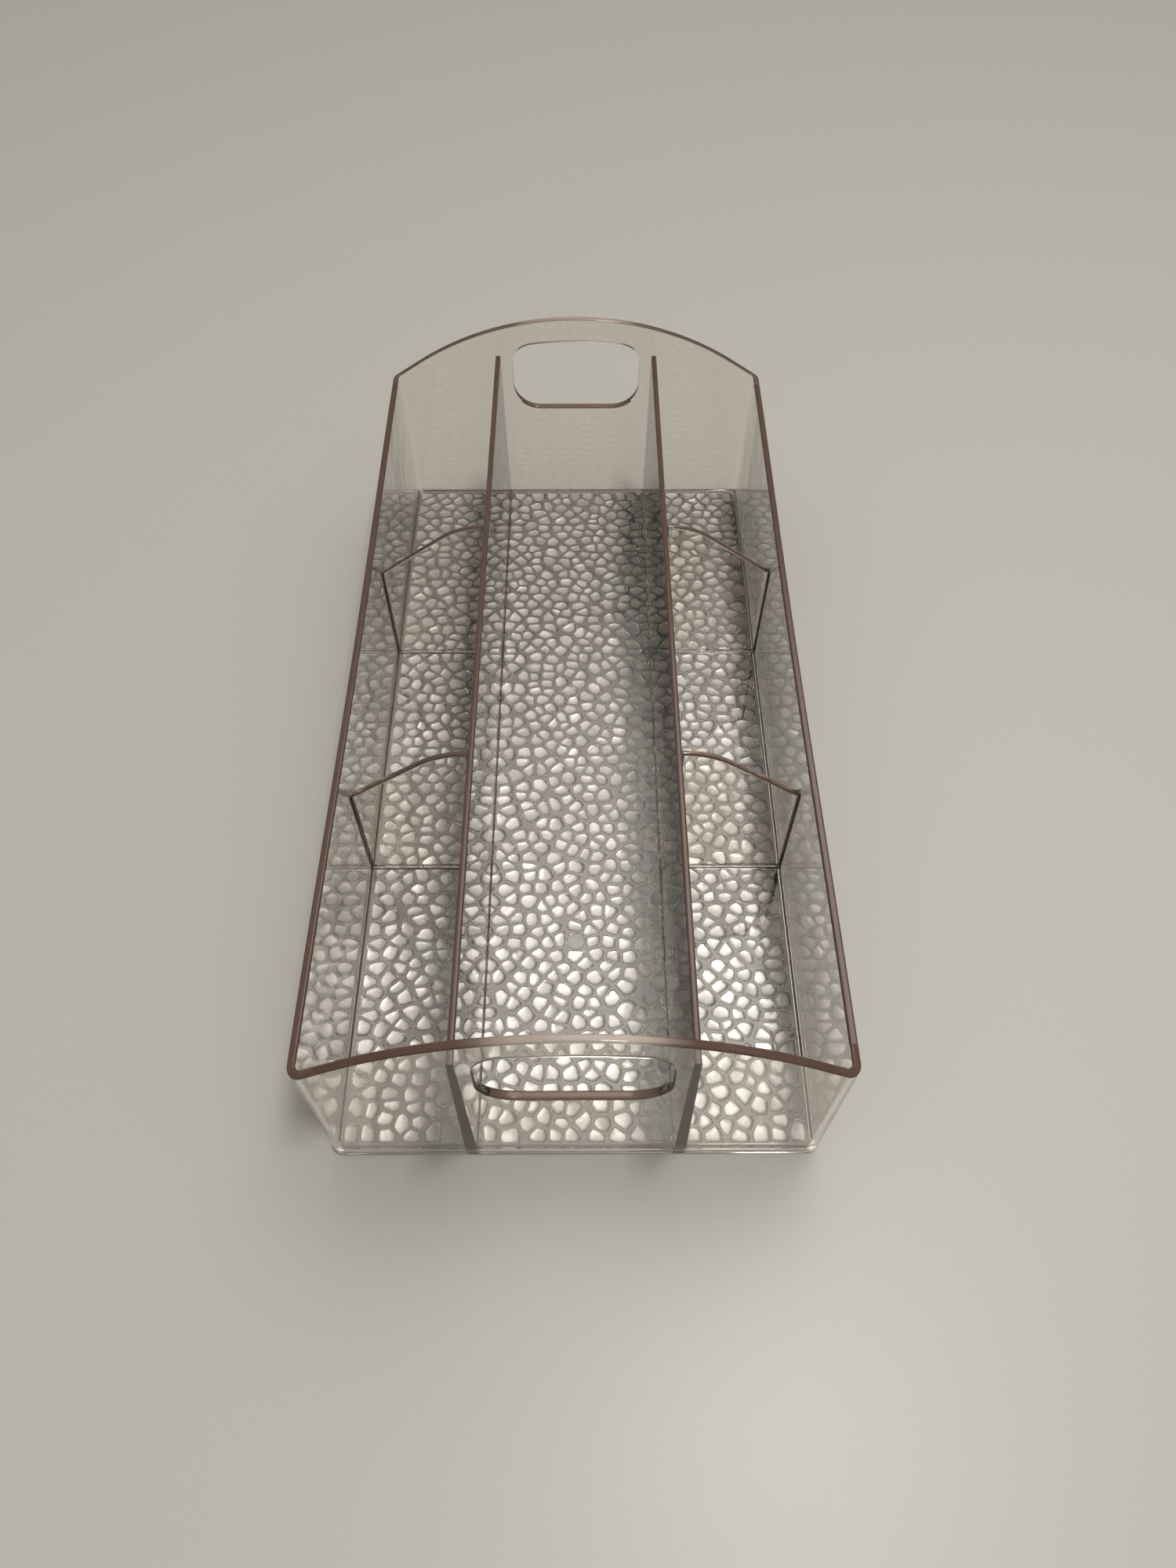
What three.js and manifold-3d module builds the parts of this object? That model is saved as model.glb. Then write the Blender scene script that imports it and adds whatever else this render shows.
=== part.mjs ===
// A clear moulded desk organizer: a low tub with two handled end walls, two long dividers and four
// cross dividers, which make one long centre compartment and three small ones down each side.
// Units are millimetres, +Z is up, +Y runs along the organizer and the origin is on the table under its
// centre. Each functional panel of the moulding is a mesh of its own.
import * as THREE from "three";
import { mergeVertices } from "three/addons/utils/BufferGeometryUtils.js";
import Module from "manifold-3d";

const wasm = await Module();
wasm.setup();

// Driving dimensions.
const BASE_HALF_WIDTH = 88.1; // outer faces where they stand on the table
const BASE_HALF_LENGTH = 178.6;
const SIDE_HEIGHT = 74.5; // rim of the two side walls
const PEAK_HEIGHT = 104.2; // crown of the two end walls
const WIDTH_DRAFT = 0.9 / SIDE_HEIGHT; // outward lean of each outer face, mm per mm of height
const LENGTH_DRAFT = 0.7 / SIDE_HEIGHT;
const CORNER_RADIUS = 5; // outer vertical corners, in plan
const INNER_CORNER_RADIUS = 2;

const FLOOR_UNDERSIDE = 2.2; // the foot ring lifts the floor this far off the table
const FLOOR_TOP = 4.9;
const FOOT_WIDTH = 2.7;
const INNER_HALF_WIDTH = 84.9; // inner faces at the floor
const INNER_HALF_LENGTH = 175.2;
const INNER_WIDTH_DRAFT = 1.3 / (SIDE_HEIGHT - FLOOR_TOP);
const INNER_LENGTH_DRAFT = 1.0 / (SIDE_HEIGHT - FLOOR_TOP);

const ARCH_RADIUS = 137; // crown of the end walls
const ARCH_ANGLE = THREE.MathUtils.degToRad(33); // where the crown runs into its straight flanks
const SHOULDER_HALF_WIDTH = 86.2; // where the flanks meet the side rim height
const CORNER_LEG = 7.2; // length of side wall that belongs to each end wall's corner

const SLOT_HALF_WIDTH = 30.6; // hand slots in the end walls
const SLOT_BOTTOM = 56.8;
const SLOT_TOP = 92.2;
const SLOT_BOTTOM_RADIUS = 13;
const SLOT_TOP_RADIUS = 10.2;
const SLOT_ROOF_DROP = 1.4; // how far the slot's arched top falls by its rounded corners

const DIVIDER_X = 37.4; // middle of each long divider
const DIVIDER_TOP = 85.3;
const DIVIDER_TOP_HALF = 1.2; // half thickness at the top and at the floor
const DIVIDER_BASE_HALF = 2.1;

const CROSS_Y = 59.9; // middle of each cross divider
const CROSS_TOP_HALF = 1.2;
const CROSS_BASE_HALF = 1.6;
const CROSS_HIGH = 83; // top edge where it meets the long divider
const CROSS_ARC_RADIUS = 32;
const CROSS_SLOPE = THREE.MathUtils.degToRad(36); // fall of the top edge towards the side wall

const JOINT_GAP = 0.3; // clearance between neighbouring panels that meet on a leaning face
const ARC_STEPS = 8; // facets on a rounded corner
const OUTSIDE = 20; // how far a cutting block reaches past the organizer

// Distances that follow from them, each at height z.
const outerHalfWidth = (z) => BASE_HALF_WIDTH + WIDTH_DRAFT * z;
const outerHalfLength = (z) => BASE_HALF_LENGTH + LENGTH_DRAFT * z;
const innerHalfWidth = (z) => INNER_HALF_WIDTH + INNER_WIDTH_DRAFT * (z - FLOOR_TOP);
const innerHalfLength = (z) => INNER_HALF_LENGTH + INNER_LENGTH_DRAFT * (z - FLOOR_TOP);
const between = (low, high, t) => low + (high - low) * t;
const dividerHalf = (z) =>
  between(DIVIDER_BASE_HALF, DIVIDER_TOP_HALF, (z - FLOOR_TOP) / (DIVIDER_TOP - FLOOR_TOP));
const crossHalf = (z) =>
  between(CROSS_BASE_HALF, CROSS_TOP_HALF, (z - FLOOR_TOP) / (CROSS_HIGH - FLOOR_TOP));

// Solids for joining and cutting.
function toSolid(geometry) {
  const bare = geometry.clone();
  bare.deleteAttribute("normal");
  bare.deleteAttribute("uv");
  const merged = mergeVertices(bare, 1e-4);
  return new wasm.Manifold(
    new wasm.Mesh({
      numProp: 3,
      vertProperties: merged.attributes.position.array,
      triVerts: new Uint32Array(merged.index.array),
    }),
  );
}

function toGeometry(solid) {
  const mesh = solid.getMesh();
  const geometry = new THREE.BufferGeometry();
  geometry.setAttribute("position", new THREE.BufferAttribute(mesh.vertProperties, 3));
  geometry.setIndex(new THREE.BufferAttribute(mesh.triVerts, 1));
  const flat = geometry.toNonIndexed();
  flat.computeVertexNormals();
  return flat;
}

// Moves every vertex by a rule of its own position, which gives a straight block its draft.
function reshape(geometry, rule) {
  const position = geometry.attributes.position;
  for (let i = 0; i < position.count; i += 1) {
    const [x, y, z] = rule(position.getX(i), position.getY(i), position.getZ(i));
    position.setXYZ(i, x, y, z);
  }
  return geometry;
}

// A block whose corners lie between two points.
function block(low, high) {
  const size = high.map((value, axis) => value - low[axis]);
  const middle = high.map((value, axis) => (value + low[axis]) / 2);
  return toSolid(new THREE.BoxGeometry(...size).translate(...middle));
}

// A rounded rectangle in plan.
function roundedPlan(halfWidth, halfLength, radius) {
  const plan = new THREE.Shape();
  const corners = [
    [halfWidth - radius, halfLength - radius, 0],
    [radius - halfWidth, halfLength - radius, Math.PI / 2],
    [radius - halfWidth, radius - halfLength, Math.PI],
    [halfWidth - radius, radius - halfLength, (3 * Math.PI) / 2],
  ];
  for (const [x, y, start] of corners) plan.absarc(x, y, radius, start, start + Math.PI / 2, false);
  return plan;
}

// A tub-shaped block from low to high whose sides lean out as halfWidth(z) and halfLength(z) say.
function leaningBlock(halfWidth, halfLength, radius, low, high) {
  const plan = roundedPlan(halfWidth(low), halfLength(low), radius);
  const straight = new THREE.ExtrudeGeometry(plan, {
    depth: high - low,
    bevelEnabled: false,
    curveSegments: ARC_STEPS,
  }).translate(0, 0, low);
  return toSolid(
    reshape(straight, (x, y, z) => [
      x + Math.sign(x) * (halfWidth(z) - halfWidth(low)),
      y + Math.sign(y) * (halfLength(z) - halfLength(low)),
      z,
    ]),
  );
}

// An upright shape drawn in X and Z, made into a slab from y = -halfDepth to y = halfDepth.
function uprightSlab(shape, halfDepth, curveSegments = ARC_STEPS) {
  return new THREE.ExtrudeGeometry(shape, {
    depth: 2 * halfDepth,
    bevelEnabled: false,
    curveSegments,
  })
    .rotateX(Math.PI / 2)
    .translate(0, halfDepth, 0);
}

// The wall ring: everything between the outer and the inner faces, above the foot ring.
function wallRing() {
  const top = PEAK_HEIGHT + OUTSIDE;
  const outside = leaningBlock(outerHalfWidth, outerHalfLength, CORNER_RADIUS, FLOOR_UNDERSIDE, top);
  const inside = leaningBlock(innerHalfWidth, innerHalfLength, INNER_CORNER_RADIUS, 0, top + 1);
  return outside.subtract(inside);
}

// The slot's outline: a flat bottom with round corners, smaller round corners above, an arched top.
function slotOutline() {
  const slot = new THREE.Path();
  const bottomX = SLOT_HALF_WIDTH - SLOT_BOTTOM_RADIUS;
  const bottomZ = SLOT_BOTTOM + SLOT_BOTTOM_RADIUS;
  const topX = SLOT_HALF_WIDTH - SLOT_TOP_RADIUS;
  const topZ = SLOT_TOP - SLOT_ROOF_DROP - SLOT_TOP_RADIUS;
  const roofRadius = (topX * topX + SLOT_ROOF_DROP * SLOT_ROOF_DROP) / (2 * SLOT_ROOF_DROP);
  const roofAngle = Math.asin(topX / roofRadius);
  slot.absarc(-bottomX, bottomZ, SLOT_BOTTOM_RADIUS, Math.PI, (3 * Math.PI) / 2, false);
  slot.absarc(bottomX, bottomZ, SLOT_BOTTOM_RADIUS, (3 * Math.PI) / 2, 2 * Math.PI, false);
  slot.absarc(topX, topZ, SLOT_TOP_RADIUS, 0, Math.PI / 2, false);
  slot.absarc(0, SLOT_TOP - roofRadius, roofRadius, Math.PI / 2 - roofAngle, Math.PI / 2 + roofAngle, false);
  slot.absarc(-topX, topZ, SLOT_TOP_RADIUS, Math.PI / 2, Math.PI, false);
  slot.closePath();
  return slot;
}

// The end wall's outline: a round crown, straight flanks and shoulders at the side rim's height.
function endWallOutline() {
  const reach = BASE_HALF_WIDTH + OUTSIDE;
  const outline = new THREE.Shape();
  outline.moveTo(-reach, 0);
  outline.lineTo(reach, 0);
  outline.lineTo(reach, SIDE_HEIGHT);
  outline.lineTo(SHOULDER_HALF_WIDTH, SIDE_HEIGHT);
  outline.absarc(
    0,
    PEAK_HEIGHT - ARCH_RADIUS,
    ARCH_RADIUS,
    Math.PI / 2 - ARCH_ANGLE,
    Math.PI / 2 + ARCH_ANGLE,
    false,
  );
  outline.lineTo(-SHOULDER_HALF_WIDTH, SIDE_HEIGHT);
  outline.lineTo(-reach, SIDE_HEIGHT);
  outline.closePath();
  outline.holes.push(slotOutline());
  return outline;
}

// One end wall with both of its rounded corners; end is -1 at the front and 1 at the rear.
function endWall(ring, end) {
  const reach = BASE_HALF_LENGTH + OUTSIDE;
  const seam = INNER_HALF_LENGTH - CORNER_LEG;
  const near = Math.min(end * seam, end * reach);
  const far = Math.max(end * seam, end * reach);
  const half = block([-reach, near, 0], [reach, far, PEAK_HEIGHT + OUTSIDE]);
  const outline = toSolid(uprightSlab(endWallOutline(), reach, 3 * ARC_STEPS));
  return ring.intersect(half).intersect(outline);
}

// One side wall between the end walls' corners; side is -1 on the left and 1 on the right.
function sideWall(ring, side) {
  const reach = BASE_HALF_WIDTH + OUTSIDE;
  const seam = INNER_HALF_LENGTH - CORNER_LEG - JOINT_GAP;
  const near = Math.min(0, side * reach);
  const far = Math.max(0, side * reach);
  return ring.intersect(block([near, -seam, 0], [far, seam, SIDE_HEIGHT]));
}

// The floor plate, lifted off the table inside the walls.
function floorPanel() {
  return leaningBlock(
    (z) => innerHalfWidth(z) - JOINT_GAP,
    (z) => innerHalfLength(z) - JOINT_GAP,
    INNER_CORNER_RADIUS,
    FLOOR_UNDERSIDE,
    FLOOR_TOP,
  );
}

// The narrow ring under the walls that the organizer stands on.
function footRing() {
  const outside = leaningBlock(outerHalfWidth, outerHalfLength, CORNER_RADIUS, 0, FLOOR_UNDERSIDE);
  const inside = leaningBlock(
    () => BASE_HALF_WIDTH - FOOT_WIDTH,
    () => BASE_HALF_LENGTH - FOOT_WIDTH,
    INNER_CORNER_RADIUS,
    -1,
    FLOOR_UNDERSIDE + 1,
  );
  return outside.subtract(inside);
}

// One long divider: thicker at the floor than at the top, and as long as the leaning end walls leave.
function longDivider() {
  const reach = INNER_HALF_LENGTH;
  const section = new THREE.Shape();
  section.moveTo(-DIVIDER_BASE_HALF, FLOOR_TOP);
  section.lineTo(DIVIDER_BASE_HALF, FLOOR_TOP);
  section.lineTo(DIVIDER_TOP_HALF, DIVIDER_TOP);
  section.lineTo(-DIVIDER_TOP_HALF, DIVIDER_TOP);
  section.closePath();
  return toSolid(
    reshape(uprightSlab(section, reach), (x, y, z) => [x, Math.sign(y) * (innerHalfLength(z) - JOINT_GAP), z]),
  );
}

// One cross divider from a long divider to the right side wall, with a top edge that curves down.
function crossDivider() {
  const face = (z) => DIVIDER_X + dividerHalf(z) + JOINT_GAP;
  const wall = (z) => innerHalfWidth(z) - JOINT_GAP;
  const arcX = face(CROSS_HIGH);
  const slopeX = arcX + CROSS_ARC_RADIUS * Math.sin(CROSS_SLOPE);
  const slopeZ = CROSS_HIGH - CROSS_ARC_RADIUS * (1 - Math.cos(CROSS_SLOPE));
  const lowZ = slopeZ - (wall(SIDE_HEIGHT) - slopeX) * Math.tan(CROSS_SLOPE);
  const outline = new THREE.Shape();
  outline.moveTo(face(FLOOR_TOP), FLOOR_TOP);
  outline.lineTo(wall(FLOOR_TOP), FLOOR_TOP);
  outline.lineTo(wall(lowZ), lowZ);
  outline.absarc(
    arcX,
    CROSS_HIGH - CROSS_ARC_RADIUS,
    CROSS_ARC_RADIUS,
    Math.PI / 2 - CROSS_SLOPE,
    Math.PI / 2,
    false,
  );
  outline.closePath();
  return toSolid(
    reshape(uprightSlab(outline, CROSS_BASE_HALF), (x, y, z) => [x, Math.sign(y) * crossHalf(z), z]),
  );
}

// The organizer: every panel as a named mesh of clear plastic.
const organizer = new THREE.Group();

function addPanel(name, geometry, color, place = [0, 0, 0], turn = 0) {
  const material = new THREE.MeshStandardMaterial({ color, roughness: 0.08, metalness: 0 });
  const panel = new THREE.Mesh(geometry, material);
  panel.name = name;
  panel.position.set(...place);
  panel.rotation.z = turn;
  organizer.add(panel);
}

const WALL_COLOR = 0xcfc6bd;
const DIVIDER_COLOR = 0xc6bcb2;
const FLOOR_COLOR = 0xd8d1c8;

const ring = wallRing();
addPanel("foot_ring", toGeometry(footRing()), FLOOR_COLOR);
addPanel("floor_panel", toGeometry(floorPanel()), FLOOR_COLOR);
addPanel("front_end_wall", toGeometry(endWall(ring, -1)), WALL_COLOR);
addPanel("rear_end_wall", toGeometry(endWall(ring, 1)), WALL_COLOR);
addPanel("left_side_wall", toGeometry(sideWall(ring, -1)), WALL_COLOR);
addPanel("right_side_wall", toGeometry(sideWall(ring, 1)), WALL_COLOR);

const dividerGeometry = toGeometry(longDivider());
addPanel("left_long_divider", dividerGeometry, DIVIDER_COLOR, [-DIVIDER_X, 0, 0]);
addPanel("right_long_divider", dividerGeometry, DIVIDER_COLOR, [DIVIDER_X, 0, 0]);

const crossGeometry = toGeometry(crossDivider());
for (const [end, y] of [
  ["front", -CROSS_Y],
  ["rear", CROSS_Y],
]) {
  addPanel(`right_${end}_cross_divider`, crossGeometry, DIVIDER_COLOR, [0, y, 0]);
  addPanel(`left_${end}_cross_divider`, crossGeometry, DIVIDER_COLOR, [0, y, 0], Math.PI);
}

export default organizer;
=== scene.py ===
"""Looks for the clear desk organizer: rounded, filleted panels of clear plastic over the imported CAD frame.

Lengths are millimetres until a mesh is made, when MM turns them into metres. Front is the -Y end.
"""

import math
import random

import bmesh
import bpy
from mathutils import Matrix, Vector
from mathutils.geometry import delaunay_2d_cdt


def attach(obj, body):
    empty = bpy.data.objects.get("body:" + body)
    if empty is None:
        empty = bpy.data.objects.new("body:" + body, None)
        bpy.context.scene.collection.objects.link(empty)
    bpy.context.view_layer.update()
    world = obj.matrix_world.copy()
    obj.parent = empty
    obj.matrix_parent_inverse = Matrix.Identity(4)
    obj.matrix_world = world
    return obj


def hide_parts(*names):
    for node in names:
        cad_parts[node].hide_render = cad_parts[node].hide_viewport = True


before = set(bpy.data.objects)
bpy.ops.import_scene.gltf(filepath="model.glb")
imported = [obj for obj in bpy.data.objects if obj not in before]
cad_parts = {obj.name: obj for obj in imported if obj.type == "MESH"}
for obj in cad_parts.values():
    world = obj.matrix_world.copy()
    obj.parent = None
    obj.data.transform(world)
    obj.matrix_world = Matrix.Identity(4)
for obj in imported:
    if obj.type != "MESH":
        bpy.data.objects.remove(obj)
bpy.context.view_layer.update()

MM = 0.001

# The organizer's driving dimensions, as in the CAD source.
BASE_HALF_WIDTH = 88.1
BASE_HALF_LENGTH = 178.6
SIDE_HEIGHT = 74.5
PEAK_HEIGHT = 104.2
WIDTH_DRAFT = 0.9 / SIDE_HEIGHT
LENGTH_DRAFT = 0.7 / SIDE_HEIGHT
CORNER_RADIUS = 5.0
INNER_CORNER_RADIUS = 2.0
WALL_FOOT = 2.2
FLOOR_TOP = 4.9
FOOT_WIDTH = 2.7
INNER_HALF_WIDTH = 84.9
INNER_HALF_LENGTH = 175.2
INNER_WIDTH_DRAFT = 1.3 / (SIDE_HEIGHT - FLOOR_TOP)
INNER_LENGTH_DRAFT = 1.0 / (SIDE_HEIGHT - FLOOR_TOP)
ARCH_RADIUS = 137.0
ARCH_SLOPE = math.radians(33)
SHOULDER_HALF_WIDTH = 86.2
SEAM_Y = 168.0
SLOT_HALF_WIDTH = 30.6
SLOT_BOTTOM = 56.8
SLOT_TOP = 92.2
SLOT_BOTTOM_RADIUS = 13.0
SLOT_TOP_RADIUS = 10.2
SLOT_ROOF_DROP = 1.4
DIVIDER_X = 37.4
DIVIDER_TOP = 85.3
DIVIDER_TOP_HALF = 1.2
DIVIDER_BASE_HALF = 2.1
CROSS_Y = 59.9
CROSS_TOP_HALF = 1.2
CROSS_BASE_HALF = 1.6
CROSS_HIGH = 83.0
CROSS_ARC_RADIUS = 32.0
CROSS_SLOPE = math.radians(36)

# Details that only the looks carry.
OVERLAP = 0.05  # neighbouring clear panels run into each other by this, so no seam shows
RIM_ROUND = 0.8  # edge rounding on rims and on divider tops
SLOT_ROUND = 0.9  # edge rounding on the hand slots
SHOULDER_BLEND = 2.5  # half width of the soft bend between crown and side rim
SIDE_BOW = 0.8  # inward bow of the side walls' rim at mid-length
COVE_RADIUS = 1.3  # fillet between floor and walls
FOOT_FILLET = 0.65  # fillet at the foot of each divider
END_FILLET = 1.0  # where a cross divider's faces run into the side wall and the long divider
WALL_FILLET = 2.2  # where a cross divider's top edge runs into the side wall
CROSS_ROUND = 1.05  # edge rounding on the cross dividers' tops
SEAM_SLICES = 3  # slices at each end of a cross divider that are painted brown shade
SEAM_FOOT_BANDS = (1, 2, 3)  # bands of its foot fillet that are painted brown shade too
FOOT_ROUND = 0.35  # edge rounding under the foot ring
FOOT_GROOVE = 0.35  # fine groove between the foot ring and the walls
LIP_PAINTED_SHADE_HEIGHT = 4.0  # the slot's lip is painted brown shade up to this far above its lowest line
SLOT_ZONE = 40.0  # half width of the end wall's middle part that holds the slot
FLOOR_CORNER_EXTRA = 0.5  # by which the floor's corners are rounder than the tub's inside
FLOOR_CORNER_GROWTH = 0.4  # more corner radius for each millimetre that a loop is inset
FLAT_INSET = 0.6  # from the end of the cove to the edge of the flat floor

# How finely the pieces are cut.
CORNER_STEPS = 10
ROUND_STEPS = 4
COVE_STEPS = 6
SIDE_WALL_SLICES = 48
LONG_DIVIDER_SLICES = 24
CROSS_DIVIDER_SLICES = 30  # between the fillets at its two ends
CROSS_TOP_ROUNDS = 12  # of refinement of a slice's top edge, as the walls beside it lean
END_WALL_STRAIGHT = 80  # x of the outermost slice in the end wall's straight middle part
END_WALL_STEP = 4  # from each of those slices to the next
SHARP_ANGLE = math.radians(40)
FLAT_FACE_WEIGHT = 60

# Pebbled relief under the floor.
WEB_UNDERSIDE = 3.35
PEBBLE_DEPTH = 1.1
PEBBLE_COLUMNS = 11  # to each side of the middle
PEBBLE_MARGIN = 1.6  # kept free beside the walls
PEBBLE_PITCH = (INNER_HALF_WIDTH - PEBBLE_MARGIN) / (PEBBLE_COLUMNS + 0.4)
PEBBLE_ROW_STEP = 0.69 * PEBBLE_PITCH
PEBBLE_GAP = 0.7  # web left between two pebbles
PEBBLE_JITTER = 0.32  # part of the pitch
PEBBLE_WALL_ROOM = 0.36 * PEBBLE_PITCH  # from a centre to the pebbled area's edge
PEBBLE_LEAST_SPACING = 3.4  # a centre nearer than this to another is left out
PEBBLE_LEAST_ROOM = 0.12 * PEBBLE_PITCH
PEBBLE_NEIGHBOURHOOD = 3 * PEBBLE_PITCH  # pebbles further away than this don't limit each other
PEBBLE_UNEVEN = 0.45  # how far a big pebble pushes its border towards a small one
PEBBLE_SIDES = 14
PEBBLE_SHARPNESS = (16, 40)  # higher makes squarer pebble corners
PEBBLE_MOST_RADIUS = 4.6
PEBBLE_PROFILE = [(1.0, 0.0), (0.93, 0.5), (0.82, 0.9), (0.6, 0.98)]  # radius part, depth part
PEBBLE_DEPTH_SPREAD = (0.8, 1.0)  # part of the full depth
PEBBLE_SHIFT_TOWARDS = math.radians(125)  # rear left, where a pebble's flat part is moved
PEBBLE_SHIFT = (0.08, 0.2)  # how far it is moved, as part of the pebble's least radius
PEBBLE_LEAN_SPREAD = math.radians(75)
PEBBLE_TILT = (0.06, 0.36)  # part of the depth by which a pebble's flat part leans
PEBBLE_PAINTED_CRESCENT = -0.2  # flanks that face away from the shift by this cosine are painted dark, a crescent of shade
PEBBLE_SEED = 7
PEBBLE_EDGE_X = INNER_HALF_WIDTH - PEBBLE_MARGIN
PEBBLE_EDGE_Y = INNER_HALF_LENGTH - PEBBLE_MARGIN
GATE_MARK = (0.0, -95.0)  # the round mark where the plastic entered the mould
GATE_RADIUS = 3.8
GATE_DEPTH = 0.5
GATE_SIDES = 32
GATE_PROFILE = [(1.0, 0.0), (0.93, 1.0), (0.85, 1.0)]
GATE_CORE = 0.7 * GATE_RADIUS  # a pebble centred within this is left out
GATE_CLEARANCE = GATE_RADIUS + 0.42 * PEBBLE_PITCH  # one within this is moved out to it

# Colours of the plastic, as linear RGB.
TINT = (0.99, 0.974, 0.953)
# painted shade: the web between the pebbles is tinted darker, as the shade between them
WEB_PAINTED_SHADE = (0.58, 0.53, 0.465)
# painted shade: flanks and grooves are tinted darker as the outlines and crescents of shade round each
# pebble
FLANK_PAINTED_SHADE = (0.55, 0.51, 0.46)
GROOVE_PAINTED_SHADE = (0.05, 0.04, 0.03)
# painted shade: rim browns and the pale stand in for light seen through the long run of plastic below an
# edge; the rear rims are painted lighter
RIM_BROWN = (0.215, 0.125, 0.095)
REAR_RIM_BROWN = (0.36, 0.28, 0.23)
CROSS_RIM_BROWN = (0.34, 0.23, 0.18)
# painted shade: brown at the cross dividers' joins and on the slot's lower lip
SEAM_PAINTED_SHADE = (0.20, 0.14, 0.11)
# painted shade: brown for the light seen down the long dividers' length through the end walls
DIVIDER_END_PAINTED_SHADE = (0.85, 0.50, 0.33)
RIM_PALE = (0.74, 0.66, 0.58)
SMOKE = (0.60, 0.36, 0.18)
SMOKE_DENSITY = 13.0
PLASTIC_IOR = 1.55
BROWN_UNEVEN = 0.15
PALE_TO_X = 0.014  # metres from the middle: edges are pale up to here and painted brown shade from BROWN_FROM_X on
BROWN_FROM_X = 0.036

# The studio, in metres.
DESK_SIZE = 14
DESK_PLACE = (0, 2, -0.0001)
DESK_DARK = (0.605, 0.594, 0.555)
DESK_LIGHT = (0.66, 0.65, 0.61)
SKY_COLOR = (0.86, 0.82, 0.76)
SKY_DIM = 0.22
SKY_BRIGHT = 0.53
SKY_GLOW_TOWARDS = (0.12, 0.1, 1.0)
SKY_GLOW_EDGE = 0.35  # cosine from the glow's middle at which the sky is down to dim
GLARE_TOWARDS = (0.19, 0.42, 0.89)
GLARE_INNER = math.radians(3)
GLARE_OUTER = math.radians(24)
GLARE_STRENGTH = 2.7
KEY_PLACE = (0.33, -0.12, 1.75)
KEY_WIDTH = 0.22
KEY_LENGTH = 0.50
KEY_POWER = 9.5
KEY_COLOR = (1.0, 0.965, 0.92)

# The photograph's viewpoint, from the camera fit.
CAMERA_PLACE = (0.00299, -0.30744, 0.41152)
CAMERA_YAW = 0.00733
CAMERA_PITCH = 0.95320
CAMERA_ROLL = 0.00364
CAMERA_SENSOR_MM = 36
CAMERA_LENS_MM = 26.122
CAMERA_CLIP_START = 0.01


def outer_half_width(z):
    return BASE_HALF_WIDTH + WIDTH_DRAFT * z


def outer_half_length(z):
    return BASE_HALF_LENGTH + LENGTH_DRAFT * z


def inner_half_width(z):
    return INNER_HALF_WIDTH + INNER_WIDTH_DRAFT * (z - FLOOR_TOP)


def inner_half_length(z):
    return INNER_HALF_LENGTH + INNER_LENGTH_DRAFT * (z - FLOOR_TOP)


def side_bow(y, z):
    """How far a side wall stands inward of its straight line: most at the rim and at mid-length."""
    along = max(0.0, math.cos(0.5 * math.pi * y / SEAM_Y)) ** 2
    return SIDE_BOW * along * max(0.0, z - FLOOR_TOP) / (SIDE_HEIGHT - FLOOR_TOP)


def mix(low, high, t):
    return low + (high - low) * t


def divider_half(z):
    return mix(DIVIDER_BASE_HALF, DIVIDER_TOP_HALF, (z - FLOOR_TOP) / (DIVIDER_TOP - FLOOR_TOP))


def cross_half(z):
    return mix(CROSS_BASE_HALF, CROSS_TOP_HALF, (z - FLOOR_TOP) / (CROSS_HIGH - FLOOR_TOP))


def crown_height(x):
    """The end wall's top edge at x: round crown, straight flank and a soft bend into the side rim."""
    x = abs(x)
    arch_end = ARCH_RADIUS * math.sin(ARCH_SLOPE)
    if x < arch_end:
        return PEAK_HEIGHT - ARCH_RADIUS + math.sqrt(ARCH_RADIUS**2 - x * x)
    rise = PEAK_HEIGHT - ARCH_RADIUS + ARCH_RADIUS * math.cos(ARCH_SLOPE) - SIDE_HEIGHT
    slope = rise / (SHOULDER_HALF_WIDTH - arch_end)
    reach = (SHOULDER_HALF_WIDTH + SHOULDER_BLEND - x) / (2 * SHOULDER_BLEND)
    if reach >= 1:
        return SIDE_HEIGHT + slope * (SHOULDER_HALF_WIDTH - x)
    return SIDE_HEIGHT + slope * SHOULDER_BLEND * max(0.0, reach) ** 2


def quarter(steps):
    """Cosine and sine pairs over a quarter turn, both ends included."""
    for step in range(steps + 1):
        angle = 0.5 * math.pi * step / steps
        yield math.cos(angle), math.sin(angle)


def rounded_plan(half_width, half_length, radius):
    """A rounded rectangle in plan as (x, y) pairs, anticlockwise."""
    points = []
    for turn in range(4):
        centre_x = (half_width - radius) * (1 if turn in (0, 3) else -1)
        centre_y = (half_length - radius) * (1 if turn in (0, 1) else -1)
        for step in range(CORNER_STEPS + 1):
            angle = 0.5 * math.pi * (turn + step / CORNER_STEPS)
            points.append((centre_x + radius * math.cos(angle), centre_y + radius * math.sin(angle)))
    return points


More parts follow.
